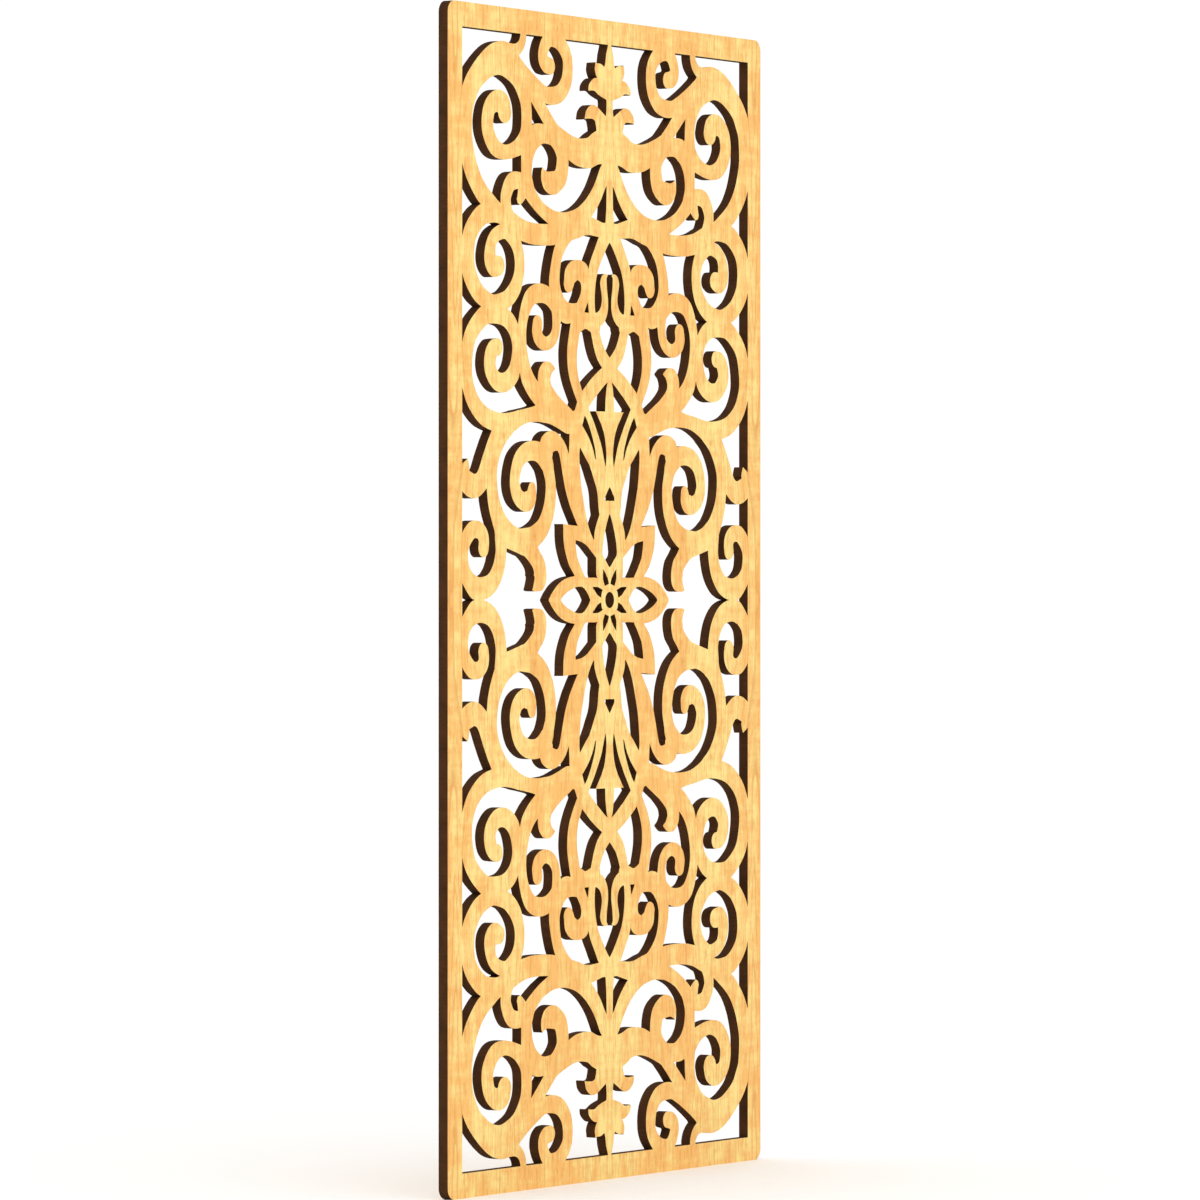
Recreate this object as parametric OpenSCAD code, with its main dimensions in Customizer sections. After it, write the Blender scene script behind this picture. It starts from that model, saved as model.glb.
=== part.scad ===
// Fretwork wall panel: one upright board pierced right through by scroll ornament.
// A 10 mm core board carries a thin wood veneer on each face, and all three are cut to one outline.
// Millimetres. X runs across the panel, Z runs up, the show face looks along -Y.
// The origin is the middle of the bottom edge, halfway through the thickness.

/* [Panel] */
// Overall width
panel_w = 600; // [480:10:720]
// Overall height
panel_h = 1200; // [960:20:1440]
// Radius of the four outer corners
corner_r = 12; // [4:1:20]

/* [Border] */
// Width of the two upright borders
stile_w = 26; // [20:1:40]
// Height of the top and bottom borders
rail_h = 25; // [20:1:40]

/* [Layers] */
// Thickness of the core board
core_t = 10; // [6:1:18]
// Thickness of each veneer
veneer_t = 0.5; // [0.4:0.1:1.5]

/* [Ornament] */
// Breadth of every stroke, as a share of its drawn breadth
stroke_gain = 1; // [0.95:0.01:1.15]
// Largest distance between a facet of a curved edge and the true curve
curve_error = 0.5; // [0.4:0.05:0.8]

/* [Hidden] */
opening_w = panel_w - 2 * stile_w;
opening_h = panel_h - 2 * rail_h;
panel_t = core_t + 2 * veneer_t;
// The ornament is drawn for an opening of this size and stretched to the real one
drawn_w = 548;
drawn_h = 1150;
// Gaps between strokes narrower than twice this are filled
nick = 0.3;
// How far past the centre lines a quarter is worked out, before it is cut off there
past_centre = 2;
// Facets of a full turn at the outer corners
corner_facets = 48;
wood_face = [0.93, 0.76, 0.50];
wood_core = [0.42, 0.27, 0.16];

// Which piece to draw

// The strokes of the top right quarter. A node is [x, y, breadth], x from the upright centre line and
// y from the level one. The other three quarters mirror it, so a stroke that meets a centre line runs
// a little past it.

// Finial on the centre line under the top rail
finial_tip = [[0, 582, 4], [0, 573, 7.4], [0, 565, 13.6], [0, 556, 16.6], [0, 545, 26], [0, 535, 26],
    [0, 516, 12], [0, 504, 13], [0, 492, 20]];
finial_upper_leaf = [[3, 533, 20], [11, 539, 19], [17, 545, 18], [21.4, 548.3, 15.4], [24.6, 551.3, 10.1],
    [26.4, 554, 3]];
finial_lower_leaf = [[6, 529, 22], [21, 531.3, 18], [29, 532, 13.2], [38, 528.3, 6.4],
    [40.3, 525.7, 1.5]];
finial_hook = [[6, 480, 30], [12.7, 487.5, 29.5], [17.7, 495, 21.2], [23.7, 500.9, 15.4], [31, 503.7, 15],
    [38, 502.6, 12.6], [43.3, 499.8, 8.2], [46.5, 496.5, 2.5]];

// Scroll in the crest, which runs on as the arch over the corner
crest_scroll = [[112.5, 545.7, 17.5], [119, 546.3, 17.8], [124.8, 550.8, 18.4], [126.3, 558.3, 17],
    [118, 572, 17.8], [107.5, 575.8, 20.5], [96.2, 572.3, 19], [86.3, 564.3, 18], [80.3, 554.4, 18],
    [82, 533, 19.1], [95.2, 518.8, 19], [116, 515.3, 18.1], [127.2, 517.8, 17.2], [173, 539, 24.2],
    [190, 547.9, 32.7], [207, 547.7, 34], [223, 543.5, 30.7]];
corner_arch = [[190, 547.9, 32.7], [207, 547.7, 34], [223, 543.5, 30.7], [251, 524.2, 26.2],
    [261.8, 509.4, 27], [266.9, 497.2, 25.6], [268.7, 484, 25.6], [268.5, 468, 24.2],
    [264.9, 449.6, 24.9], [258.3, 433.7, 24.5], [249.3, 420.9, 22.8], [238.6, 410.3, 22], [215, 396, 19],
    [203, 390, 18]];
crest_tie = [[162.4, 582, 10.6], [162.7, 572, 10.9], [165.6, 565.1, 11.7], [171.2, 560, 12.6],
    [178.6, 556.6, 15.2], [189, 555, 19]];

// Swag from the centre line up into the arch, and the spiral that hangs inside it
swag = [[-4, 471, 48], [6, 470.5, 42], [17, 469, 36.3], [29, 465.3, 33], [38, 461.3, 31.9],
    [64, 461.3, 28.1], [94, 472.4, 22.6], [106.3, 480.6, 18], [126.2, 499.1, 17.3], [145.6, 516.8, 17.8],
    [160, 527, 24], [175, 537, 26]];
bowl_scroll = [[112, 477, 20], [101.5, 471.5, 22], [93, 463.5, 23], [89.2, 453, 22.2],
    [92.6, 435.1, 23.3], [98.8, 429.3, 22.9], [106.5, 426.5, 24.2], [114.8, 427.1, 23.1],
    [120.5, 429.8, 19.2], [124.5, 434.5, 12.4], [127, 440, 3]];
bowl_link = [[94, 472, 24], [104, 474.5, 22], [125, 475.9, 19.8], [136.2, 474, 24], [147.6, 468, 26.6],
    [154, 457, 24]];

// Upright stroke left of the corner spiral, and the spiral
corner_upright = [[157, 422, 19], [156.6, 442, 19.9], [155.3, 453, 22.7], [155.5, 465, 25.5],
    [156.6, 476, 23.3], [156.5, 487, 19.4], [158.4, 507.3, 20.2], [172.2, 528.5, 22.1],
    [186, 537.3, 23.8], [200, 542, 25]];
corner_spiral = [[148, 471, 24], [161, 466.8, 26], [173, 459.4, 18], [195, 453.3, 15],
    [215.8, 458.2, 19.6], [228.2, 476, 21.1], [225.7, 494.3, 20.8], [219.8, 500.8, 20.7],
    [212, 504, 22.5], [204, 503.2, 24.7], [198.5, 499.3, 25.2], [197, 494.7, 24.6]];

// Hook and tooth under the corner spiral
corner_hook = [[156, 421, 20], [167, 425.5, 17.5], [185.2, 423.3, 18.9], [194.9, 408.4, 18.7],
    [194.3, 399, 19], [191.5, 388, 24], [184, 379, 22]];
corner_tooth = [[161, 420.5, 21], [165, 412.9, 16.4], [168.9, 406.9, 11.6]];

// Bowl under the swag, and the band that closes it below
bowl = [[-3, 450, 20], [4, 447, 22], [16.7, 430.8, 19.1], [23.4, 421, 19.4], [39.9, 404.4, 20.4],
    [62, 392.1, 20.6], [88, 387.3, 20.2], [100, 388.2, 19.4], [110, 390.8, 17], [129.2, 398.8, 15.5],
    [146.6, 411, 18.3], [153, 418.4, 20.8], [156, 429, 19.7]];
bowl_stem = [[0, 452, 16], [0, 430, 11.4], [0, 405, 12.9], [0, 382, 18]];
band = [[-5, 381.5, 17], [15, 382.4, 15.8], [35, 385.8, 18.9], [50, 385.4, 20.2], [65, 381.9, 21.4],
    [110, 373.5, 21.7], [150, 373.4, 22.2], [167, 376.2, 22.6], [182, 381, 24], [196, 387, 22]];

// Scroll beside the centre under the band
heart_scroll = [[77, 378, 20], [86, 371.7, 20.3], [98.6, 353.8, 17.2], [104.6, 331, 19],
    [104.3, 319, 21.2], [100.2, 307.5, 24.5], [91.4, 298.5, 24.1], [80, 294.4, 22.2], [59.8, 297.8, 17.2],
    [53.8, 304, 15.6], [47.9, 312, 16.8], [45.8, 320, 17], [46.3, 329.5, 20], [50.8, 336.6, 22.6],
    [60.7, 339.4, 20.8], [69.8, 337.3, 22.2], [76, 331.8, 21.4], [78, 324.7, 18.4]];
heart_side = [[-2, 384, 19], [8.5, 375.5, 19], [21.9, 357.2, 17.3], [31.7, 340.5, 17.2],
    [35.5, 318, 14.6], [33.7, 297, 12.2], [31, 286, 15.6], [25.3, 270, 16.1], [16.7, 254, 17.7],
    [-9, 232.7, 17.7]];
heart_stem = [[30, 288, 15], [21, 290, 15.5], [14, 294.7, 15], [9.9, 302, 13.6], [9, 311, 11.8],
    [10.4, 319, 11.4], [11.9, 326.5, 12.5], [10.4, 332.3, 10.8], [7, 335.4, 5], [4.5, 336, 1.5]];
heart_foot = [[27, 283.5, 19], [36.5, 286.7, 19.4], [46, 287.8, 16.8], [55, 286.6, 19.2], [64, 283, 21]];

// Long scroll from the foot of the heart, round the middle of the panel's half
middle_scroll = [[124, 205, 26], [136.2, 209.5, 22.6], [155.9, 227.1, 22], [165, 255, 18],
    [163.7, 282.7, 16], [153.4, 304.3, 19.4], [144, 310.7, 19.8], [132, 313, 19.9], [120, 311.6, 19],
    [109.2, 306.6, 19.3], [101.7, 298.1, 18.2], [101.6, 277.8, 14.7], [105.4, 269.7, 14.5],
    [112.2, 264.2, 14.2], [121, 261.8, 14.2], [129.5, 263.8, 16], [135.5, 269, 17.8],
    [137.2, 275.5, 18.4], [136.2, 281.4, 18]];
middle_hook = [[94, 196, 18], [101, 199, 21], [108, 203.2, 22], [114.5, 208.3, 22], [120.8, 214.5, 23],
    [124, 225.2, 23.4], [122.3, 230.1, 24], [118.1, 234.5, 20.6], [111.8, 236.8, 13], [108.4, 237, 7.6],
    [104.6, 236.8, 2]];

// Upper and lower scrolls at the side
upper_side_scroll = [[196, 388, 22], [208, 391.3, 21], [220, 391.7, 21.8], [232.6, 389.7, 22],
    [243.7, 384.5, 22.6], [253.4, 376.3, 22.8], [261.1, 365.6, 23.4], [264.5, 352, 24],
    [264.2, 339, 24.4], [260.6, 327.2, 23.5], [244.5, 309, 20.9], [220, 299.3, 18.6], [208, 299.7, 19.5],
    [196, 303, 19], [185, 309.5, 19.6], [176.1, 318.7, 19.5], [170.8, 330, 18], [169.4, 342, 17.8],
    [171.9, 354.2, 18.1], [178.4, 364.3, 18.6], [187.3, 370.6, 18.1], [197, 373.3, 16],
    [214.5, 367.9, 15.4], [220.7, 360.8, 17.1], [223.5, 351.5, 19.7], [222.6, 342.5, 22],
    [216, 336.9, 22.4], [207.4, 338, 20.3]];
lower_side_scroll = [[196, 179.5, 20], [207, 179.5, 20], [232.5, 184.5, 20.6], [254.9, 200.5, 20.5],
    [266.8, 226, 21.2], [263.7, 255.2, 21.4], [256.4, 269.4, 20.6], [236.2, 285.6, 21],
    [224, 289.4, 21.2], [200, 287.2, 19.3], [188.5, 282.3, 19.6], [179.6, 273.6, 19.2],
    [174.9, 262.5, 18.2], [174, 251, 18.5], [179.9, 231.2, 20.8], [195, 220.7, 20.1],
    [211.3, 221.3, 19.9], [222.9, 232.7, 20.8], [223.9, 242, 21], [221, 249.6, 20.8],
    [215.6, 254.6, 18.7], [209.5, 255.5, 17.8]];

// Leaf beside the centre line, and the strokes that cross there and widen into the large petal
leaf_side = [[50, 308, 15], [55, 301, 16], [64.3, 284, 19.5], [66.9, 275, 19.2], [71.5, 255, 18.6],
    [69.4, 232.8, 16.8], [56.4, 208.2, 14], [49, 201, 15]];
petal_side = [[-8, 245.5, 17.7], [8.5, 233.2, 17.8], [15.9, 229.1, 18.4], [47.1, 206.4, 20.7],
    [58.8, 189.6, 19], [65.9, 170, 21.2], [67.6, 150, 19.8], [68.5, 138, 23.5], [71, 126, 30.8],
    [67.8, 112, 29], [62.6, 99.8, 26], [56.3, 87.4, 21.2], [46, 69.8, 15.6], [36, 58.5, 13.2],
    [22, 49.5, 14]];

// Fan on the centre line: a square-topped middle leaf with two ribs beside it
fan_stem = [[0, 246, 7], [0, 226, 7.4], [0, 220, 11.6], [0, 206, 16.2], [0, 188, 18]];
fan_leaf = [[0, 120, 20], [0, 148, 12.5], [0, 173, 22], [0, 195, 53.6]];
fan_rib = [[47.3, 197.7, 12.2], [41.3, 190.7, 9.6], [33.3, 179.3, 10], [21, 155.3, 13], [17, 137, 17.2],
    [14, 127, 24]];
fan_outer_rib = [[64, 177, 20], [48, 162.1, 19.3], [38, 149.8, 16.6], [33.7, 143.2, 13],
    [23.2, 128.5, 16.5], [16.3, 120, 20]];
fan_collar = [[5, 128, 22], [11.5, 122, 23.5], [15.3, 113, 20.2], [15.8, 106, 13.6], [15.3, 98, 13],
    [12, 89.5, 15.6]];
fan_foot = [[-2, 98, 9.4], [3, 98, 9.4], [7, 98, 9.4], [11, 98, 9.4]];

// Band over the great spiral, and the spiral
spiral_band = [[57, 190, 18], [68, 183.4, 22.1], [79, 184, 27.4], [91, 188.9, 29.3], [103.3, 194.2, 32.3],
    [115, 197, 34], [127, 194.4, 28.2], [139, 189.8, 16.8], [160, 186.8, 15], [198, 176, 24]];
great_spiral = [[171, 184.5, 17], [181, 181, 19], [191, 176.2, 22.4], [201.9, 168.2, 22.5],
    [211, 157.5, 22.5], [217.7, 145.2, 21.9], [220.9, 131, 20], [217.8, 102, 20.7], [206.3, 79, 25],
    [196.9, 69, 28.5], [184, 63.4, 25.7], [171, 60.1, 25.3], [158, 59.3, 27], [146.4, 62.7, 24.7],
    [126.6, 74, 22.3], [113.9, 96.2, 20.7], [112, 120, 18.6], [115.2, 130.8, 19.2], [119.7, 141.3, 23.6],
    [129.5, 148.8, 22.6], [140, 151.8, 20.6], [157.4, 150.3, 19.8], [171.8, 140.8, 18.9],
    [178.7, 121.6, 17.4], [176.9, 112, 18.5], [172.5, 105.2, 18.6], [166, 101.2, 18.9],
    [158.5, 99.8, 20.4], [151.2, 102.2, 21.3], [147.2, 107.5, 18], [146.6, 112.7, 14.8]];
spiral_lobe = [[73.4, 123, 27.8], [79.5, 134.9, 22.9], [85.2, 145.4, 17.6], [89.1, 153.4, 15.8],
    [95.3, 159.5, 15.7], [103, 162, 19.5], [111.9, 161.5, 23.2], [118.6, 156.8, 27.2], [123, 148.5, 27]];

// Hook at the side below the lower scroll, with its spike
side_hook = [[203, 177, 21], [217.6, 154.8, 23.6], [226.6, 139.1, 24.1], [232.4, 127.4, 24.7],
    [241.3, 118.4, 23], [252, 114.4, 24.8], [263, 117, 25], [278, 124.6, 23.4]];
side_spike = [[279, 122, 24], [271, 127.8, 20.5], [266.5, 135, 12.4], [264.5, 141, 2]];

// Scroll at the side, with the stroke that carries it
side_scroll = [[269.7, 29.2, 18.8], [273.2, 39, 20.3], [273, 49, 19.5], [269.4, 58, 19],
    [257.7, 69.4, 18.5], [249.5, 71.1, 17.6], [241, 69.1, 18.1], [235.5, 62.8, 18.6], [234.9, 56, 18.4],
    [235.5, 52.2, 18.5]];
side_carrier = [[199.6, 68, 31], [203.8, 59.3, 22], [203.4, 50, 20], [208.9, 30.6, 20.8], [222.4, 16, 22],
    [243, 11, 23.8], [253, 13.1, 24.2], [261, 18.5, 21.2], [276, 34, 20]];
spiral_hook = [[160, 59, 29.5], [153.3, 55.5, 26.3], [139.5, 42, 20.8], [134.1, 36.2, 22.2],
    [131.4, 28, 22.8], [132.3, 20.6, 23.6], [135.8, 15.8, 17.6], [145, 10.4, 2.5]];

// Rosette round the centre of the panel
rosette_upright_petal = [[-2, 26.8, 8.6], [5.6, 31.8, 9.8], [11.5, 37.7, 9.8], [17.3, 43.4, 10],
    [20.7, 51, 14.3], [20.3, 66, 18.6], [13.7, 81.5, 16.8], [8, 91.7, 16], [2, 96.5, 12.5],
    [-3, 98.5, 9]];
rosette_level_petal = [[31, -4, 11], [32, 3, 11.3], [43.3, 15.2, 11.4], [52, 18.7, 10.6],
    [62, 19.3, 11.5], [84.3, 14.2, 14.4], [94.5, 9, 15.5], [104.4, 0.3, 16.8], [109, -5, 17]];
rosette_upright_tie = [[20, 44.5, 11.4], [19.2, 28, 13.1], [17.6, 20, 10.4], [13, 14, 7]];
rosette_level_tie = [[12.5, 13.5, 7], [20, 17.6, 9.2], [38, 18.3, 9.4], [50, 18.6, 9.8]];
rosette_upright_root = [[0, 14, 3], [0, 18, 3.4], [0, 22, 7], [0, 27, 11]];
rosette_level_root = [[14, 0, 4], [18, 0, 5.9], [24, 0, 11], [30, 0, 22]];
rosette_leaf = [[50, 20, 10], [57, 25, 14], [63, 32.1, 15.2], [68.9, 39.1, 17.4], [75.4, 56, 21.6],
    [76.4, 67, 23.4], [74.6, 74, 27.6], [74.4, 77, 29.2]];
rosette_leaf_tie = [[43, 62.4, 12.6], [53, 67.1, 14.6], [65, 69, 15], [76, 69, 15]];
rosette_eye_r = 12.7;
rosette_eye_breadth = 8.6;

ROUND_ENDED = [finial_tip, finial_upper_leaf, finial_lower_leaf, finial_hook, crest_scroll, corner_arch,
    crest_tie, swag, bowl_scroll, bowl_link, corner_upright, corner_spiral, corner_hook, corner_tooth,
    bowl, bowl_stem, band, heart_scroll, heart_side, heart_stem, heart_foot, middle_scroll, middle_hook,
    upper_side_scroll, lower_side_scroll, leaf_side, petal_side, fan_stem, fan_rib, fan_outer_rib,
    fan_collar, spiral_band, great_spiral, spiral_lobe, side_hook, side_spike, side_scroll, side_carrier,
    spiral_hook, rosette_upright_petal, rosette_upright_tie, rosette_level_tie, rosette_leaf_tie];
SQUARE_ENDED = [fan_leaf, fan_foot, rosette_level_petal, rosette_leaf, rosette_upright_root,
    rosette_level_root];

// A drawn node at its place in the real opening
function placed(n) = [n.x * opening_w / drawn_w, n.y * opening_h / drawn_h, n.z * stroke_gain];

// How far apart two nodes count, for a curve that passes evenly through close and distant nodes
function gap(a, b) = sqrt(norm([b.x - a.x, b.y - a.y]));

// Which way the curve heads at node b, between nodes a and c
function heading(a, b, c) = (b - a) / gap(a, b) - (c - a) / (gap(a, b) + gap(b, c)) + (c - b) / gap(b, c);

// Angle between two headings, seen from the front
function turn(u, v) = acos(min(1, max(-1, (u.x * v.x + u.y * v.y) / norm([u.x, u.y]) / norm([v.x, v.y]))));

// Place, breadth and heading at share t of the smooth span from b, heading u, to c, heading v
function on_span(b, u, c, v, t) = [
    b * (2 * t * t * t - 3 * t * t + 1) + u * (t * t * t - 2 * t * t + t)
        + c * (3 * t * t - 2 * t * t * t) + v * (t * t * t - t * t),
    b * (6 * t * t - 6 * t) + u * (3 * t * t - 4 * t + 1) + c * (6 * t - 6 * t * t) + v * (3 * t * t - 2 * t)
];

// Points along the span from b to c, with a and d as the nodes before and after, and c left out.
// A facet as long as l over a turn of a radians lies l * a / 8 off its arc, which gives their number.
function span(a, b, c, d) =
    let (u = heading(a, b, c) * gap(b, c))
    let (v = heading(b, c, d) * gap(b, c))
    let (arc = turn(u, v) * PI / 180)
    let (outer_length = norm([c.x - b.x, c.y - b.y]) + arc * max(b.z, c.z) / 2)
    let (facets = max(1, ceil(sqrt(outer_length * arc / 8 / curve_error))))
    [for (i = [0:facets - 1]) on_span(b, u, c, v, i / facets)];

// The nodes with one more at each end, so that the first and last spans are smooth too
function extended(n) = let (e = len(n) - 1) concat([2 * n[0] - n[1]], n, [2 * n[e] - n[e - 1]]);

// Points along a whole stroke, with its last node
function stroke_line(drawn) =
    let (n = extended([for (d = drawn) placed(d)]))
    let (e = len(n) - 2)
    concat(
        [for (i = [1:e - 1]) each span(n[i - 1], n[i], n[i + 1], n[i + 2])],
        [[n[e], heading(n[e - 1], n[e], n[e + 1])]]
    );

// The edge of a stroke at one point of its line, on side 1 or -1
function edge_point(p, side) =
    let (half = side * p[0].z / 2 / norm([p[1].x, p[1].y]))
    [p[0].x - p[1].y * half, p[0].y + p[1].x * half];

// One stroke of wood, of varying breadth
module stroke(drawn) {
    line = stroke_line(drawn);
    for (i = [0:len(line) - 2])
        polygon([edge_point(line[i], 1), edge_point(line[i + 1], 1), edge_point(line[i + 1], -1),
            edge_point(line[i], -1)]);
}

// Facets round a circle of radius r, equally many in each quarter and four at the least
function facets_round(r) =
    let (half_facet = acos(1 - min(curve_error / r, 0.5)))
    4 * ceil(90 / (2 * half_facet));

// The round end of a stroke
module stroke_end(drawn) {
    n = placed(drawn);
    translate([n.x, n.y])
        circle(d = n.z, $fn = facets_round(n.z / 2));
}

// Ring round the hole in the middle of the rosette
module rosette_eye() {
    breadth = rosette_eye_breadth * stroke_gain;
    scale([opening_w / drawn_w, opening_h / drawn_h])
        difference() {
            circle(r = rosette_eye_r + breadth / 2, $fn = facets_round(rosette_eye_r));
            circle(r = rosette_eye_r - breadth / 2, $fn = facets_round(rosette_eye_r));
        }
}

// All strokes of one quarter
module quarter_ornament() {
    for (s = ROUND_ENDED) {
        stroke(s);
        stroke_end(s[0]);
        stroke_end(s[len(s) - 1]);
    }
    for (s = SQUARE_ENDED)
        stroke(s);
}

// The ornament in all four quarters
module ornament() {
    for (across = [0, 1])
        mirror([across, 0])
            for (down = [0, 1])
                mirror([0, down])
                    quarter_ornament();
    rosette_eye();
}

// The board's rounded outline
module board_outline() {
    for (x = [-1, 1])
        for (y = [-1, 1])
            translate([x * (panel_w / 2 - corner_r), y * (panel_h / 2 - corner_r)])
                circle(r = corner_r, $fn = corner_facets);
    square([panel_w, panel_h - 2 * corner_r], center = true);
    square([panel_w - 2 * corner_r, panel_h], center = true);
}

// What the saw takes out in the quarter of positive X and Y. It is found a little past the centre lines,
// so that cutting it off there leaves no trace of the corners at that cut.
module quarter_openings() {
    intersection() {
        square([panel_w / 2, panel_h / 2]);
        offset(delta = nick)
            offset(delta = -nick)
                difference() {
                    translate([-past_centre, -past_centre])
                        square([opening_w / 2 + past_centre, opening_h / 2 + past_centre]);
                    ornament();
                }
    }
}

// Border and ornament as one flat outline, in one piece
module panel_outline() {
    difference() {
        board_outline();
        quarter_openings();
        mirror([1, 0])
            quarter_openings();
        mirror([0, 1])
            quarter_openings();
        rotate(180)
            quarter_openings();
    }
}

// A sheet cut to the outline and stood upright on the floor, with its front at one place along Y
module upright_sheet(front, thickness) {
    translate([0, front + thickness, panel_h / 2])
        rotate([90, 0, 0])
            linear_extrude(thickness)
                panel_outline();
}

module front_veneer() {
    color(wood_face)
        upright_sheet(-panel_t / 2, veneer_t);
}

module core_board() {
    color(wood_core)
        upright_sheet(veneer_t - panel_t / 2, core_t);
}

module back_veneer() {
    color(wood_face)
        upright_sheet(panel_t / 2 - veneer_t, veneer_t);
}

front_veneer();
core_board();
back_veneer();
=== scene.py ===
"""Fretwork wall panel: a veneered board sawn right through in scrolls, standing on a pale floor.

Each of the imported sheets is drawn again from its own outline, with smooth curves in place of
facets and short wobbles, and gets its wood finish. Metres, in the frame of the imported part:
X across, -Y out of the show face, Z up.
"""

import math

import bmesh
import bpy
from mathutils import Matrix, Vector


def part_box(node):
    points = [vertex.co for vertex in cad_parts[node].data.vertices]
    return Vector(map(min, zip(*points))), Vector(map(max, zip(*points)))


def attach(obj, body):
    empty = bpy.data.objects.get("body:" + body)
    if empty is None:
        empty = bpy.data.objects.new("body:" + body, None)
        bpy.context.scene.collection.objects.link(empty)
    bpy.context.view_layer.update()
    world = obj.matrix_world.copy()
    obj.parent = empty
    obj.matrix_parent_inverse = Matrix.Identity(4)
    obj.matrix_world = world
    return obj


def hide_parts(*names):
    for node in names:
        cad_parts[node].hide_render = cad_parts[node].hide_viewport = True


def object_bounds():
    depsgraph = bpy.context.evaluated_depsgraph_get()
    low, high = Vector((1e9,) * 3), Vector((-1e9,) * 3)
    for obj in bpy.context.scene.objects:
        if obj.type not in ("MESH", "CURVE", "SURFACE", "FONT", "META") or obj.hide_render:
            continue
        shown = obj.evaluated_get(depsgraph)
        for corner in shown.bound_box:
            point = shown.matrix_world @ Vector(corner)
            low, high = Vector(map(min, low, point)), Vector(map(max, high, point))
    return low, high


bl_info = {
    "name": "Fretwork Wall Panel",
    "version": (1, 0, 0),
    "blender": (4, 5, 0),
    "location": "View3D > Sidebar > Fretwork",
    "description": "Builds a veneered fretwork panel on a pale studio floor",
    "category": "Object",
}

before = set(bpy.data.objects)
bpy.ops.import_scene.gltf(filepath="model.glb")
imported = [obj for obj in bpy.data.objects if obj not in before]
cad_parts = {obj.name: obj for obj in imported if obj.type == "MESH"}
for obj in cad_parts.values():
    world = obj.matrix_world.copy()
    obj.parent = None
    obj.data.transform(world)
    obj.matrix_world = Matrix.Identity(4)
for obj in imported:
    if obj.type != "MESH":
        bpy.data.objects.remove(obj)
CAD_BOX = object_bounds()
PANEL_LOW, PANEL_HIGH = CAD_BOX
PANEL_W = PANEL_HIGH.x - PANEL_LOW.x
PANEL_H = PANEL_HIGH.z - PANEL_LOW.z

MM = 0.001


# Colours


def linear(code):
    """Linear red, green, blue and alpha of an sRGB hex colour."""
    channels = [int(code[i : i + 2], 16) / 255 for i in (1, 3, 5)]
    return [c / 12.92 if c <= 0.04045 else ((c + 0.055) / 1.055) ** 2.4 for c in channels] + [1.0]


def colour(name, description, code):
    """A colour that a user can change."""
    return bpy.props.FloatVectorProperty(
        name=name, description=description, default=linear(code), size=4, min=0, max=1, subtype="COLOR"
    )


# What a user can change


class FretworkShape(bpy.types.PropertyGroup):
    """How the sawn outline is smoothed."""

    facet_turn: bpy.props.FloatProperty(
        name="Facet turn",
        description="Largest turn between two neighbouring facets of a curved edge",
        default=math.radians(5),
        min=math.radians(2),
        max=math.radians(20),
        subtype="ANGLE",
    )
    corner_turn: bpy.props.FloatProperty(
        name="Corner turn",
        description="A sharper turn than this in the outline stays a corner",
        default=math.radians(38),
        min=math.radians(20),
        max=math.radians(80),
        subtype="ANGLE",
    )
    straight_length: bpy.props.FloatProperty(
        name="Straight length",
        description="A level or upright edge longer than this stays straight",
        default=5 * MM,
        min=1 * MM,
        max=50 * MM,
        unit="LENGTH",
    )
    wobble_length: bpy.props.FloatProperty(
        name="Wobble length",
        description="A shorter edge than this that turns one way and back is smoothed away",
        default=4.2 * MM,
        min=0,
        max=10 * MM,
        unit="LENGTH",
    )
    closest_points: bpy.props.FloatProperty(
        name="Closest points",
        description="Points of the outline nearer to each other than this are joined",
        default=0.7 * MM,
        min=0.01 * MM,
        max=2 * MM,
        unit="LENGTH",
    )


class FretworkFinish(bpy.types.PropertyGroup):
    """Colours of the wood and of the stage."""

    pale_wood: colour("Pale wood", "The yellow bands of the veneer", "#F5DA87")
    warm_wood: colour("Warm wood", "The orange bands of the veneer", "#F1B865")
    grain_line: colour("Grain line", "The thin dark lines of the veneer", "#D0832F")
    cut_edge: colour("Cut edge", "The sawn and darkened edge", "#4A2E1A")
    cut_edge_dark: colour("Dark cut edge", "The darkest streaks of the sawn edge", "#2A180C")
    floor: colour("Floor", "The pale floor and surroundings", "#FDFDFD")


# Fixed measures

# How warm the veneer is at shares of the way from the upright centre line to the edge
BAND_WARMTH = (
    (0.0, 0.0), (0.1, 0.29), (0.167, 0.42), (0.233, 1.0), (0.3, 0.55), (0.5, 0.64),
    (0.57, 0.25), (0.7, 0.16), (0.77, 0.0), (0.83, 0.36), (0.97, 0.64),
)
# Width across and length up the panel of each kind of mark in the veneer, and its fineness
BEND = (80 * MM, 300 * MM, 1)
CLOUD = (35 * MM, 120 * MM, 5)
STREAK = (14 * MM, 1500 * MM, 2)
MOTTLE = (12 * MM, 20 * MM, 4)
CURL = (40 * MM, 9 * MM, 3)
GROWTH = (30 * MM, 900 * MM, 1)
FLECK = (2.2 * MM, 14 * MM, 3)
# How strongly clouds, streaks, mottle and cross-grain curl warm the veneer, beside the bands
CLOUD_WARMTH = 1.5
STREAK_WARMTH = 2.0
MOTTLE_WARMTH = 2.3
CURL_WARMTH = 1.9
# What the warmth sums to where the wood is palest and where it is warmest
PALEST = 3.55
WARMEST = 4.66
# How rough the fine detail of each noise is
NOISE_ROUGHNESS = 0.6
# How far the bends shift the figure sideways at the most
BEND_SHIFT = 40 * MM
# How many growth lines lie in the full range of the growth noise
GROWTH_LINES = 12.0
# Where a growth line starts to darken, as a share of the way to the next
LINE_START = 0.7
# How dark the growth lines are inside the panel and in the veneer of its borders
LINE_DEPTH = 0.3
BORDER_LINE_DEPTH = 0.5
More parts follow.
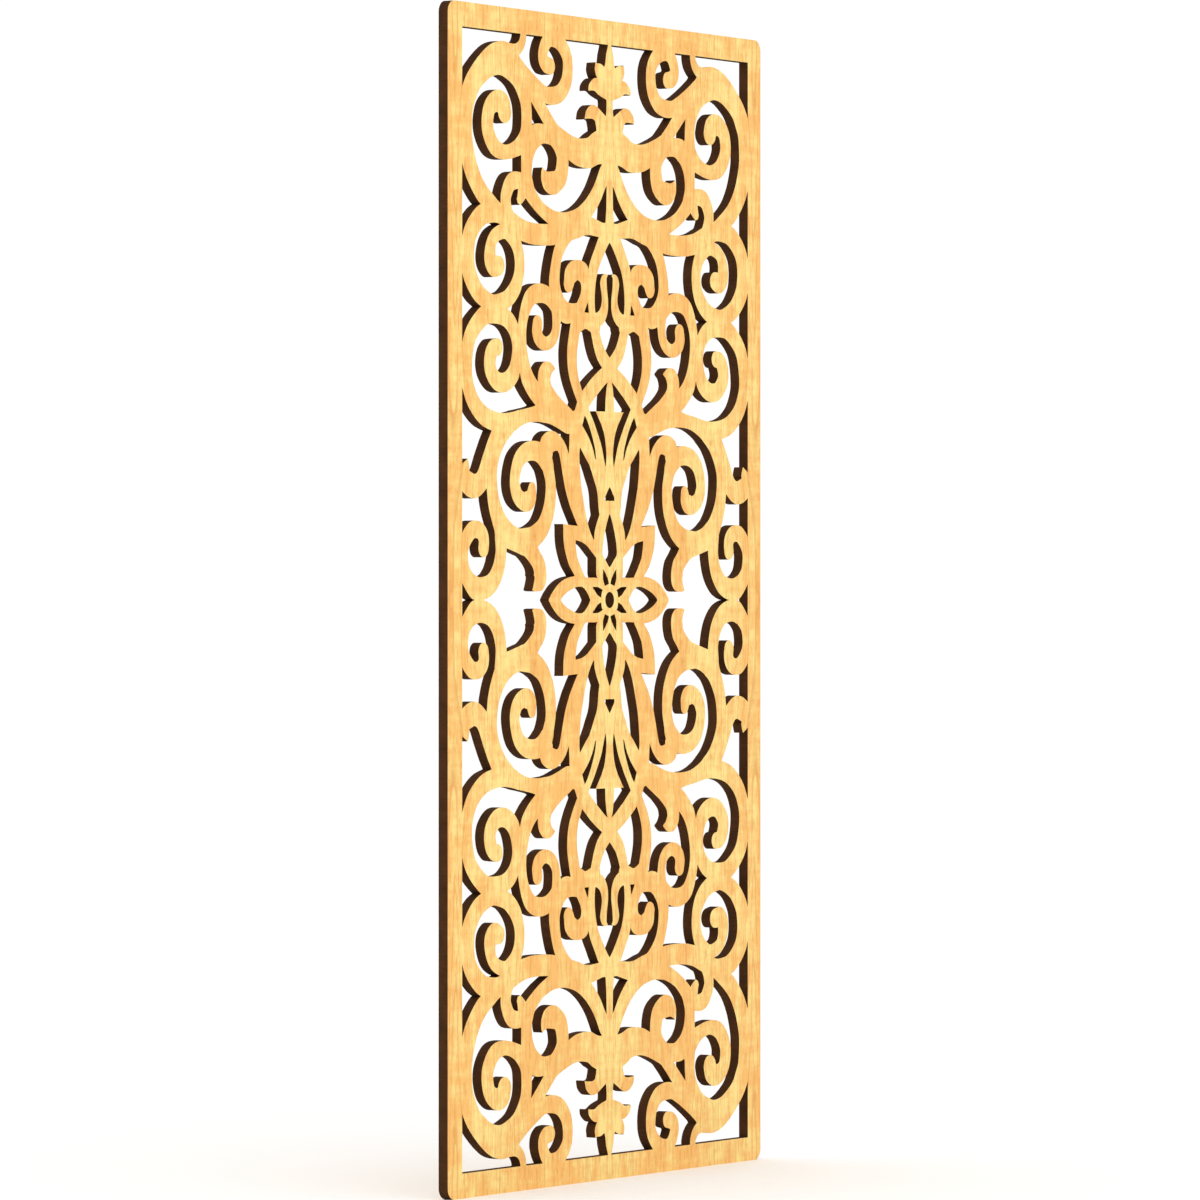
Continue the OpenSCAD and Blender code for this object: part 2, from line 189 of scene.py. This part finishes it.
# Where the lines start to darken towards a border, and where they are as dark as in it, as shares
# of the way from the upright centre line to the edge
BORDER_START = 0.82
BORDER_FULL = 0.95
# Fleck noise where a fleck starts and where it is darkest, and how dark that is
FLECK_START = 0.5
FLECK_FULL = 0.8
FLECK_DEPTH = 0.7
# The satin lacquer: its roughness, its gloss, and how strongly and deeply it sinks into the pores
LACQUER_ROUGHNESS = (0.42, 0.55)
LACQUER_GLOSS = 0.25
PORE_STRENGTH = 0.1
PORE_DEPTH = 0.1 * MM

# The sawn edge: the width of the saw's marks, the squeeze of their pattern through the thickness,
# which makes them run right through it, the size of the scorched blotches, and their fineness
SAW_MARK = 2.5 * MM
SAW_MARK_SQUEEZE = 0.06
SAW_MARK_DETAIL = 3.0
BLOTCH = 20 * MM
BLOTCH_DETAIL = 2.0
# How much the marks count beside the blotches, from which sum the edge starts to darken and at
# which it is darkest, and how dark that is
SAW_MARK_SHARE = 0.6
SCORCH_START = 0.65
SCORCH_FULL = 1.0
SCORCH_DEPTH = 0.5
# The matt surface of the sawn edge, and how strongly and deeply the saw marked it
EDGE_ROUGHNESS = 0.85
EDGE_GLOSS = 0.05
SAW_MARK_STRENGTH = 0.25
SAW_MARK_DEPTH = 0.1 * MM

# The matt paint of the floor: the size and fineness of its uneven patches, and its surface
PAINT_PATCH = 300 * MM
PAINT_DETAIL = 2.0
PAINT_ROUGHNESS = (0.85, 0.95)
PAINT_GLOSS = 0.1

# The outline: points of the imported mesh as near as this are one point, a face whose normal has a Y
# below this is in front, and a straight edge is level or upright to this much
SAME_POINT = 0.001 * MM
FRONT_NORMAL = -0.999
LEVEL_ERROR = 0.01 * MM
# The front, back and edge of a drawn sheet are joined where their points are as near as this
SEAM = 0.01 * MM

# The stage: half the width of the floor, the strength of the white surroundings, and the soft lamp
# with its power in watts
FLOOR_HALF = 30.0
LIGHT_STRENGTH = 1.04
KEY_POWER = 30.0
KEY_SIZE = 3.0
KEY_PLACE = Vector((-2.4, -3.2, 2.6))
# The camera stands level with the middle of the panel, well to its left
CAMERA_PLACE = Vector((-5.93, -3.8035, PANEL_H / 2))
CAMERA_AZIMUTH = math.radians(57.28)
SENSOR = 36.0
FOCAL_LENGTH = 203.9


# Node trees


def add_node(tree, kind, settings=None, inputs=None):
    """Adds a node with its settings, and gives each named input a value or a link from a socket."""
    node = tree.nodes.new(kind)
    for name, value in (settings or {}).items():
        setattr(node, name, value)
    for name, value in (inputs or {}).items():
        if isinstance(value, bpy.types.NodeSocket):
            tree.links.new(value, node.inputs[name])
        else:
            node.inputs[name].default_value = value
    return node


def stretched_noise(tree, vector, mark):
    """Noise whose patches are as wide across the panel, as long up it and as fine as the mark says."""
    across, along, detail = mark
    place = add_node(
        tree, "ShaderNodeMapping", None, {"Vector": vector, "Scale": (1 / across, 1 / across, 1 / along)}
    )
    return add_node(
        tree, "ShaderNodeTexNoise", None,
        {
            "Vector": place.outputs["Vector"],
            "Scale": 1.0,
            "Detail": detail,
            "Roughness": NOISE_ROUGHNESS,
        },
    )


def set_stops(ramp, stops):
    """Gives a colour ramp its grey stops, as pairs of position and value."""
    for position, value in stops[2:]:
        ramp.elements.new(position)
    for element, (position, value) in zip(ramp.elements, stops):
        element.position = position
        element.color = (value, value, value, 1)
    ramp.interpolation = "EASE"


def new_material(name):
    """An empty node material with its shader and output."""
    material = bpy.data.materials.new(name)
    material.use_nodes = True
    tree = material.node_tree
    tree.nodes.clear()
    shader = add_node(tree, "ShaderNodeBsdfPrincipled")
    add_node(tree, "ShaderNodeOutputMaterial", inputs={"Surface": shader.outputs["BSDF"]})
    return material, tree, shader


def veneer_finish(finish):
    """Pale maple veneer, four leaves book-matched about the two centre lines and lacquered.

    A yellow middle turns to orange some 70 mm out, to yellow again towards the sides and to orange
    at the borders. Growth lines, short flecks, long streaks and soft patches lie over these bands.
    """
    material, tree, shader = new_material("Lacquered maple veneer")
    middle = (PANEL_LOW + PANEL_HIGH) / 2
    place = add_node(tree, "ShaderNodeTexCoord")
    centred = add_node(
        tree, "ShaderNodeVectorMath", {"operation": "SUBTRACT"},
        {0: place.outputs["Object"], 1: middle},
    )
    leaf = add_node(
        tree, "ShaderNodeVectorMath", {"operation": "ABSOLUTE"}, {0: centred.outputs["Vector"]}
    )

    # The trunk's bends, which shift the whole figure sideways
    bend = stretched_noise(tree, leaf.outputs["Vector"], BEND)
    bent = add_node(
        tree, "ShaderNodeVectorMath", {"operation": "MULTIPLY_ADD"},
        {0: bend.outputs["Color"], 1: (BEND_SHIFT, 0, 0), 2: leaf.outputs["Vector"]},
    ).outputs["Vector"]

    # Warmth of the bands, from the middle of the panel outwards, past the mean shift of the bends
    across = add_node(tree, "ShaderNodeSeparateXYZ", None, {"Vector": bent})
    from_middle = add_node(
        tree, "ShaderNodeMapRange", None,
        {
            "Value": across.outputs["X"],
            "From Min": BEND_SHIFT / 2,
            "From Max": BEND_SHIFT / 2 + PANEL_W / 2,
        },
    )
    band = add_node(tree, "ShaderNodeValToRGB", None, {"Fac": from_middle.outputs["Result"]})
    set_stops(band.color_ramp, BAND_WARMTH)
    warmth = band.outputs["Color"]
    for mark, weight in (
        (CLOUD, CLOUD_WARMTH), (STREAK, STREAK_WARMTH), (MOTTLE, MOTTLE_WARMTH), (CURL, CURL_WARMTH)
    ):
        noise = stretched_noise(tree, bent, mark)
        warmth = add_node(
            tree, "ShaderNodeMath", {"operation": "MULTIPLY_ADD"},
            {0: noise.outputs["Fac"], 1: weight, 2: warmth},
        ).outputs["Value"]
    warm_share = add_node(
        tree, "ShaderNodeMapRange", None,
        {"Value": warmth, "From Min": PALEST, "From Max": WARMEST},
    )
    wood = add_node(
        tree, "ShaderNodeMix", {"data_type": "RGBA"},
        {"Factor": warm_share.outputs["Result"], 6: finish.pale_wood, 7: finish.warm_wood},
    )

    # Growth lines: the contour lines of a slow, long noise
    growth = stretched_noise(tree, bent, GROWTH)
    rings = add_node(
        tree, "ShaderNodeMath", {"operation": "MULTIPLY"}, {0: growth.outputs["Fac"], 1: GROWTH_LINES}
    )
    ring = add_node(tree, "ShaderNodeMath", {"operation": "FRACT"}, {0: rings.outputs["Value"]})
    ring_depth = add_node(
        tree, "ShaderNodeMapRange", {"interpolation_type": "SMOOTHSTEP"},
        {
            "Value": from_middle.outputs["Result"],
            "From Min": BORDER_START,
            "From Max": BORDER_FULL,
            "To Min": LINE_DEPTH,
            "To Max": BORDER_LINE_DEPTH,
        },
    )
    ring_share = add_node(
        tree, "ShaderNodeMapRange", {"interpolation_type": "SMOOTHSTEP"},
        {
            "Value": ring.outputs["Value"],
            "From Min": LINE_START,
            "From Max": 1.0,
            "To Max": ring_depth.outputs["Result"],
        },
    )
    ringed = add_node(
        tree, "ShaderNodeMix", {"data_type": "RGBA"},
        {"Factor": ring_share.outputs["Result"], 6: wood.outputs[2], 7: finish.grain_line},
    )

    # Short dark flecks, about 1 mm wide and 10 mm long
    flecks = stretched_noise(tree, bent, FLECK)
    fleck_share = add_node(
        tree, "ShaderNodeMapRange", None,
        {
            "Value": flecks.outputs["Fac"],
            "From Min": FLECK_START,
            "From Max": FLECK_FULL,
            "To Max": FLECK_DEPTH,
        },
    )
    flecked = add_node(
        tree, "ShaderNodeMix", {"data_type": "RGBA"},
        {"Factor": fleck_share.outputs["Result"], 6: ringed.outputs[2], 7: finish.grain_line},
    )
    tree.links.new(flecked.outputs[2], shader.inputs["Base Color"])

    # Satin lacquer that sinks a little into the pores
    roughness = add_node(
        tree, "ShaderNodeMapRange", None,
        {
            "Value": flecks.outputs["Fac"],
            "To Min": LACQUER_ROUGHNESS[0],
            "To Max": LACQUER_ROUGHNESS[1],
        },
    )
    tree.links.new(roughness.outputs["Result"], shader.inputs["Roughness"])
    pores = add_node(
        tree, "ShaderNodeBump", None,
        {"Height": flecks.outputs["Fac"], "Strength": PORE_STRENGTH, "Distance": PORE_DEPTH},
    )
    tree.links.new(pores.outputs["Normal"], shader.inputs["Normal"])
    shader.inputs["Specular IOR Level"].default_value = LACQUER_GLOSS
    return material


def cut_edge_finish(finish):
    """Board edge darkened by the saw's heat: matt, with fine marks straight through the thickness."""
    material, tree, shader = new_material("Scorched board edge")
    place = add_node(tree, "ShaderNodeTexCoord")
    marks_place = add_node(
        tree, "ShaderNodeMapping", None,
        {"Vector": place.outputs["Object"], "Scale": (1.0, SAW_MARK_SQUEEZE, 1.0)},
    )
    marks = add_node(
        tree, "ShaderNodeTexNoise", None,
        {
            "Vector": marks_place.outputs["Vector"],
            "Scale": 1 / SAW_MARK,
            "Detail": SAW_MARK_DETAIL,
            "Roughness": NOISE_ROUGHNESS,
        },
    )
    blotches = add_node(
        tree, "ShaderNodeTexNoise", None,
        {"Vector": place.outputs["Object"], "Scale": 1 / BLOTCH, "Detail": BLOTCH_DETAIL},
    )
    both = add_node(
        tree, "ShaderNodeMath", {"operation": "MULTIPLY_ADD"},
        {0: marks.outputs["Fac"], 1: SAW_MARK_SHARE, 2: blotches.outputs["Fac"]},
    )
    share = add_node(
        tree, "ShaderNodeMapRange", None,
        {
            "Value": both.outputs["Value"],
            "From Min": SCORCH_START,
            "From Max": SCORCH_FULL,
            "To Max": SCORCH_DEPTH,
        },
    )
    brown = add_node(
        tree, "ShaderNodeMix", {"data_type": "RGBA"},
        {"Factor": share.outputs["Result"], 6: finish.cut_edge, 7: finish.cut_edge_dark},
    )
    tree.links.new(brown.outputs[2], shader.inputs["Base Color"])
    relief = add_node(
        tree, "ShaderNodeBump", None,
        {
            "Height": marks.outputs["Fac"],
            "Strength": SAW_MARK_STRENGTH,
            "Distance": SAW_MARK_DEPTH,
        },
    )
    tree.links.new(relief.outputs["Normal"], shader.inputs["Normal"])
    shader.inputs["Roughness"].default_value = EDGE_ROUGHNESS
    shader.inputs["Specular IOR Level"].default_value = EDGE_GLOSS
    return material


def floor_finish(finish):
    """Matt white painted board, with a faint unevenness of the paint."""
    material, tree, shader = new_material("Matt white floor")
    place = add_node(tree, "ShaderNodeTexCoord")
    paint = add_node(
        tree, "ShaderNodeTexNoise", None,
        {"Vector": place.outputs["Object"], "Scale": 1 / PAINT_PATCH, "Detail": PAINT_DETAIL},
    )
    roughness = add_node(
        tree, "ShaderNodeMapRange", None,
        {
            "Value": paint.outputs["Fac"],
            "To Min": PAINT_ROUGHNESS[0],
            "To Max": PAINT_ROUGHNESS[1],
        },
    )
    tree.links.new(roughness.outputs["Result"], shader.inputs["Roughness"])
    shader.inputs["Base Color"].default_value = finish.floor
    shader.inputs["Specular IOR Level"].default_value = PAINT_GLOSS
    return material


# The sawn outline


def outline_loops(node):
    """Closed loops of points (x, z) round the front face of a packed sheet and round its openings."""
    mesh = bmesh.new()
    mesh.from_mesh(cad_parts[node].data)
    bmesh.ops.remove_doubles(mesh, verts=mesh.verts, dist=SAME_POINT)
    # A list keeps the mesh's own order, so each run gives the same loops
    front = [face for face in mesh.faces if face.normal.y < FRONT_NORMAL]
    in_front = set(front)
    after = {}
    for face in front:
        for loop in face.loops:
            if sum(other in in_front for other in loop.edge.link_faces) == 1:
                after.setdefault(loop.vert, []).append(loop.link_loop_next.vert)
    loops = []
    while after:
        start = next(iter(after))
        vert, points = start, []
        while True:
            points.append(Vector((vert.co.x, vert.co.z)))
            following = after[vert].pop()
            if not after[vert]:
                del after[vert]
            vert = following
            if vert is start:
                break
        loops.append(points)
    mesh.free()
    return loops


def spread(points, least):
    """The points of a closed loop, neighbours nearer to each other than least joined halfway."""
    points = list(points)
    i = 0
    while i < len(points):
        following = (i + 1) % len(points)
        if (points[following] - points[i]).length < least:
            points[i] = (points[i] + points[following]) / 2
            points.pop(following)
        else:
            i += 1
    return points


def settle(points, shape):
    """The points of a closed loop, each short step that turns one way and back made one point."""
    points = list(points)
    i = 0
    while i < len(points):
        a, b, c, d = (points[(i + k) % len(points)] for k in (-1, 0, 1, 2))
        there, back = (b - a).angle_signed(c - b), (c - b).angle_signed(d - c)
        if (
            there * back < 0
            and (c - b).length < shape.wobble_length
            and min(abs(there), abs(back)) > shape.facet_turn
            and max(abs(there), abs(back)) < shape.corner_turn
        ):
            points[i] = (b + c) / 2
            points.pop((i + 1) % len(points))
            i = max(i - 2, 0)
        else:
            i += 1
    return points


def heading(a, b, c):
    """Tangent at b of a smooth curve through a, b and c, whose pace is the root of each step."""
    before, after = math.sqrt((b - a).length), math.sqrt((c - b).length)
    return (b - a) / before - (c - a) / (before + after) + (c - b) / after


def smooth_loop(points, shape):
    """A closed loop with its facets made finer along smooth curves, and its corners kept."""
    points = settle(spread(points, shape.closest_points), shape)
    count = len(points)
    steps = [points[(i + 1) % count] - points[i] for i in range(count)]
    straight = [
        step.length > shape.straight_length and min(abs(step.x), abs(step.y)) < LEVEL_ERROR
        for step in steps
    ]
    turns = [abs(steps[i - 1].angle_signed(steps[i])) for i in range(count)]
    corner = [
        turns[i] > shape.corner_turn or straight[i - 1] or straight[i] for i in range(count)
    ]
    fine = []
    for i in range(count):
        b, c = points[i], points[(i + 1) % count]
        fine.append(b)
        if straight[i]:
            continue
        a = 2 * b - c if corner[i] else points[i - 1]
        d = 2 * c - b if corner[(i + 1) % count] else points[(i + 2) % count]
        root = math.sqrt((c - b).length)
        u, v = heading(a, b, c) * root, heading(b, c, d) * root
        parts = max(1, math.ceil(abs(u.angle_signed(v)) / shape.facet_turn))
        for k in range(1, parts):
            t = k / parts
            fine.append(
                b * (2 * t**3 - 3 * t**2 + 1)
                + u * (t**3 - 2 * t**2 + t)
                + c * (3 * t**2 - 2 * t**3)
                + v * (t**3 - t**2)
            )
    return fine


def outline_mesh(loops):
    """Flat mesh of closed lines through the loops."""
    points, edges = [], []
    for loop in loops:
        first = len(points)
        points += [(p.x, p.y, 0) for p in loop]
        edges += [(first + i, first + (i + 1) % len(loop)) for i in range(len(loop))]
    mesh = bpy.data.meshes.new("Sawn outline")
    mesh.from_pydata(points, edges, [])
    return mesh


def sawn_sheet_tree():
    """Geometry nodes that fill a flat outline, give it thickness towards -Y and stand it upright."""
    tree = bpy.data.node_groups.new("Sawn sheet", "GeometryNodeTree")
    sockets = (
        ("Outline", "INPUT", "NodeSocketGeometry"),
        ("Thickness", "INPUT", "NodeSocketFloat"),
        ("Back", "INPUT", "NodeSocketFloat"),
        ("Face finish", "INPUT", "NodeSocketMaterial"),
        ("Edge finish", "INPUT", "NodeSocketMaterial"),
        ("Sheet", "OUTPUT", "NodeSocketGeometry"),
    )
    for name, in_out, kind in sockets:
        tree.interface.new_socket(name, in_out=in_out, socket_type=kind)
    given = add_node(tree, "NodeGroupInput").outputs
    lines = add_node(tree, "GeometryNodeMeshToCurve", None, {"Mesh": given["Outline"]})
    filled = add_node(
        tree, "GeometryNodeFillCurve", {"mode": "TRIANGLES"}, {"Curve": lines.outputs["Curve"]}
    )
    raised = add_node(
        tree, "GeometryNodeExtrudeMesh", {"mode": "FACES"},
        {
            "Mesh": filled.outputs["Mesh"],
            "Offset": (0.0, 0.0, 1.0),
            "Offset Scale": given["Thickness"],
            "Individual": False,
        },
    )
    back = add_node(tree, "GeometryNodeFlipFaces", None, {"Mesh": filled.outputs["Mesh"]})
    closed = add_node(tree, "GeometryNodeJoinGeometry")
    tree.links.new(raised.outputs["Mesh"], closed.inputs["Geometry"])
    tree.links.new(back.outputs["Mesh"], closed.inputs["Geometry"])
    merged = add_node(
        tree, "GeometryNodeMergeByDistance", None,
        {"Geometry": closed.outputs["Geometry"], "Distance": SEAM},
    )
    place = add_node(tree, "ShaderNodeCombineXYZ", None, {"Y": given["Back"]})
    upright = add_node(
        tree, "GeometryNodeTransform", None,
        {
            "Geometry": merged.outputs["Geometry"],
            "Translation": place.outputs["Vector"],
            "Rotation": (math.pi / 2, 0.0, 0.0),
        },
    )
    faced = add_node(
        tree, "GeometryNodeSetMaterial", None,
        {"Geometry": upright.outputs["Geometry"], "Material": given["Face finish"]},
    )
    real = add_node(
        tree, "GeometryNodeRealizeInstances", None, {"Geometry": faced.outputs["Geometry"]}
    )
    edged = add_node(
        tree, "GeometryNodeSetMaterial", None,
        {
            "Geometry": real.outputs["Geometry"],
            "Selection": raised.outputs["Side"],
            "Material": given["Edge finish"],
        },
    )
    add_node(tree, "NodeGroupOutput", None, {"Sheet": edged.outputs["Geometry"]})
    return tree


def shared(collection, name, make, *args):
    """The named material or node tree, made on its first use."""
    found = collection.get(name)
    return found if found else make(*args)


def sawn_sheet(node, name, face_finish, edge_finish, shape):
    """Draws one packed sheet again with smooth curves, and puts it in that sheet's place."""
    low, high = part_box(node)
    loops = [smooth_loop(points, shape) for points in outline_loops(node)]
    maker = bpy.data.objects.new(name + " maker", outline_mesh(loops))
    bpy.context.scene.collection.objects.link(maker)
    tree = shared(bpy.data.node_groups, "Sawn sheet", sawn_sheet_tree)
    modifier = maker.modifiers.new("Sawn sheet", "NODES")
    modifier.node_group = tree
    values = {
        "Thickness": high.y - low.y,
        "Back": high.y,
        "Face finish": face_finish,
        "Edge finish": edge_finish,
    }
    for item in tree.interface.items_tree:
        if item.in_out == "INPUT" and item.name in values:
            modifier[item.identifier] = values[item.name]
    evaluated = maker.evaluated_get(bpy.context.evaluated_depsgraph_get())
    mesh = bpy.data.meshes.new_from_object(evaluated)
    bpy.data.objects.remove(maker)
    if not mesh.polygons:
        raise RuntimeError(name + " came out empty")
    mesh.name = name
    mesh.shade_smooth()
    mesh.set_sharp_from_angle(angle=shape.corner_turn)
    sheet = bpy.data.objects.new(name, mesh)
    bpy.context.scene.collection.objects.link(sheet)
    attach(sheet, "root")
    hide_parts(node)


# The stage


def add_floor(scene):
    """A wide pale floor under the panel."""
    corners = [
        (FLOOR_HALF * x, FLOOR_HALF * y, PANEL_LOW.z) for x, y in ((-1, -1), (1, -1), (1, 1), (-1, 1))
    ]
    mesh = bpy.data.meshes.new("studio_floor")
    mesh.from_pydata(corners, [], [(0, 1, 2, 3)])
    mesh.materials.append(floor_finish(scene.fretwork_finish))
    floor = bpy.data.objects.new("studio_floor", mesh)
    scene.collection.objects.link(floor)


def add_light(scene):
    """Even white surroundings and one large soft lamp in front."""
    world = bpy.data.worlds.new("Studio white")
    world.use_nodes = True
    surroundings = world.node_tree.nodes["Background"]
    surroundings.inputs["Color"].default_value = (1, 1, 1, 1)
    surroundings.inputs["Strength"].default_value = LIGHT_STRENGTH
    scene.world = world
    lamp = bpy.data.lights.new("Softbox", "AREA")
    lamp.shape = "SQUARE"
    lamp.size = KEY_SIZE
    lamp.energy = KEY_POWER
    softbox = bpy.data.objects.new("Softbox", lamp)
    softbox.location = KEY_PLACE
    aim = (PANEL_LOW + PANEL_HIGH) / 2 - KEY_PLACE
    softbox.rotation_euler = aim.to_track_quat("-Z", "Y").to_euler()
    scene.collection.objects.link(softbox)
    scene.view_settings.view_transform = "Standard"


def add_camera(scene):
    """The long-lens view of the photograph."""
    lens = bpy.data.cameras.new("Camera")
    lens.sensor_width = SENSOR
    lens.lens = FOCAL_LENGTH
    camera = bpy.data.objects.new("Camera", lens)
    camera.location = CAMERA_PLACE
    camera.rotation_euler = (math.pi / 2, 0, -CAMERA_AZIMUTH)
    scene.collection.objects.link(camera)
    scene.camera = camera


# Operators


class FRETWORK_OT_front_veneer(bpy.types.Operator):
    """Add the veneer on the show face"""

    bl_idname = "fretwork.front_veneer"
    bl_label = "Front veneer"

    def execute(self, context):
        finish = context.scene.fretwork_finish
        veneer = shared(bpy.data.materials, "Lacquered maple veneer", veneer_finish, finish)
        edge = shared(bpy.data.materials, "Scorched board edge", cut_edge_finish, finish)
        shape = context.scene.fretwork_shape
        sawn_sheet("front_veneer", "front_veneer_leaf", veneer, edge, shape)
        return {"FINISHED"}


class FRETWORK_OT_core_board(bpy.types.Operator):
    """Add the board between the veneers"""

    bl_idname = "fretwork.core_board"
    bl_label = "Core board"

    def execute(self, context):
        finish = context.scene.fretwork_finish
        edge = shared(bpy.data.materials, "Scorched board edge", cut_edge_finish, finish)
        shape = context.scene.fretwork_shape
        sawn_sheet("core_board", "sawn_core_board", edge, edge, shape)
        return {"FINISHED"}


class FRETWORK_OT_back_veneer(bpy.types.Operator):
    """Add the balancing veneer on the back"""

    bl_idname = "fretwork.back_veneer"
    bl_label = "Back veneer"

    def execute(self, context):
        finish = context.scene.fretwork_finish
        veneer = shared(bpy.data.materials, "Lacquered maple veneer", veneer_finish, finish)
        edge = shared(bpy.data.materials, "Scorched board edge", cut_edge_finish, finish)
        shape = context.scene.fretwork_shape
        sawn_sheet("back_veneer", "back_veneer_leaf", veneer, edge, shape)
        return {"FINISHED"}


class FRETWORK_OT_stage(bpy.types.Operator):
    """Add the floor, the soft light and the camera"""

    bl_idname = "fretwork.stage"
    bl_label = "Stage"

    def execute(self, context):
        add_floor(context.scene)
        add_light(context.scene)
        add_camera(context.scene)
        return {"FINISHED"}


class FRETWORK_PT_panel(bpy.types.Panel):
    """Sidebar panel with the sizes, the colours and the pieces"""

    bl_idname = "FRETWORK_PT_panel"
    bl_label = "Fretwork wall panel"
    bl_space_type = "VIEW_3D"
    bl_region_type = "UI"
    bl_category = "Fretwork"

    def draw(self, context):
        for group in (context.scene.fretwork_shape, context.scene.fretwork_finish):
            for name in group.__annotations__:
                self.layout.prop(group, name)
        for operator in OPERATORS:
            self.layout.operator(operator.bl_idname)


GROUPS = (FretworkShape, FretworkFinish)
OPERATORS = (
    FRETWORK_OT_front_veneer,
    FRETWORK_OT_core_board,
    FRETWORK_OT_back_veneer,
    FRETWORK_OT_stage,
)


def register():
    for cls in GROUPS + OPERATORS + (FRETWORK_PT_panel,):
        bpy.utils.register_class(cls)
    bpy.types.Scene.fretwork_shape = bpy.props.PointerProperty(type=FretworkShape)
    bpy.types.Scene.fretwork_finish = bpy.props.PointerProperty(type=FretworkFinish)


def unregister():
    del bpy.types.Scene.fretwork_finish
    del bpy.types.Scene.fretwork_shape
    for cls in reversed(GROUPS + OPERATORS + (FRETWORK_PT_panel,)):
        bpy.utils.unregister_class(cls)


def main():
    """Builds every piece and the stage."""
    register()
    bpy.ops.fretwork.front_veneer()
    bpy.ops.fretwork.core_board()
    bpy.ops.fretwork.back_veneer()
    bpy.ops.fretwork.stage()


if __name__ == "__main__":
    main()
